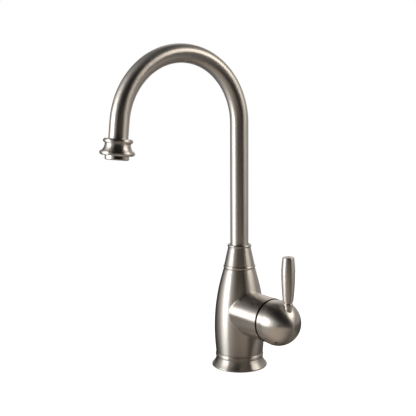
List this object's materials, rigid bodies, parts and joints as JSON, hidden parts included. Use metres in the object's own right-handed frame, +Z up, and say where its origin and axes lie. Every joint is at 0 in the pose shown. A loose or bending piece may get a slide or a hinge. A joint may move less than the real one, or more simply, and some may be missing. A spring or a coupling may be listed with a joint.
{
  "type": "bar faucet",
  "caption": "Single-handle bar faucet with a swivelling gooseneck spout, a bellied body on a flared foot and a side lever on a ball-shaped knob.",
  "frame": {"origin": "axis of the body at deck level, at the mouth of the shank thread", "axes": "+Z up along the body; the spout points to -Y, towards the user; the handle stands out along +X"},
  "size_m": [0.1094, 0.1819, 0.3204],
  "materials": {
    "brushed_nickel": "satin brushed nickel plating",
    "polished_nickel": "finely turned nickel plating, brighter than the body",
    "brass": "machined brass",
    "stainless": "plain stainless steel",
    "rubber": "black sealing rubber",
    "white_plastic": "white acetal",
    "grey_plastic": "grey nylon",
    "ceramic": "lapped ceramic"
  },
  "bodies": {
    "faucet_body": {"body": "brushed_nickel", "base_ring": "polished_nickel", "base_gasket": "rubber", "neck_ring": "polished_nickel", "spout_bonnet": "brushed_nickel", "slip_ring": "grey_plastic", "guide_bush": "white_plastic", "cartridge_base": "grey_plastic", "cartridge_seals": "rubber", "fixed_disc": "ceramic", "cartridge_housing": "white_plastic", "cartridge_nut": "brass"},
    "handle": {"moving_disc": "ceramic", "cartridge_stem": "brass", "stem_seal": "rubber", "knob": "brushed_nickel", "lever": "brushed_nickel", "set_screw": "stainless"},
    "spout": {"spout_tube": "brushed_nickel", "spout_stem": "brass", "lower_spout_seal": "rubber", "upper_spout_seal": "rubber", "thrust_ring": "white_plastic", "outlet_collar": "polished_nickel", "aerator_washer": "rubber", "aerator_housing": "polished_nickel", "aerator_insert": "grey_plastic", "aerator_screen": "grey_plastic"}
  },
  "joints": [
    {"name": "spout_swivel", "type": "hinge", "parent": "faucet_body", "child": "spout", "pos_m": [0, 0, 0.11], "axis": [0, 0, 1], "continuous": true},
    {"name": "handle_turn", "type": "hinge", "parent": "faucet_body", "child": "handle", "pos_m": [0.06, 0, 0.0565], "axis": [1, 0, 0], "range_deg": [0, 95]}
  ]
}
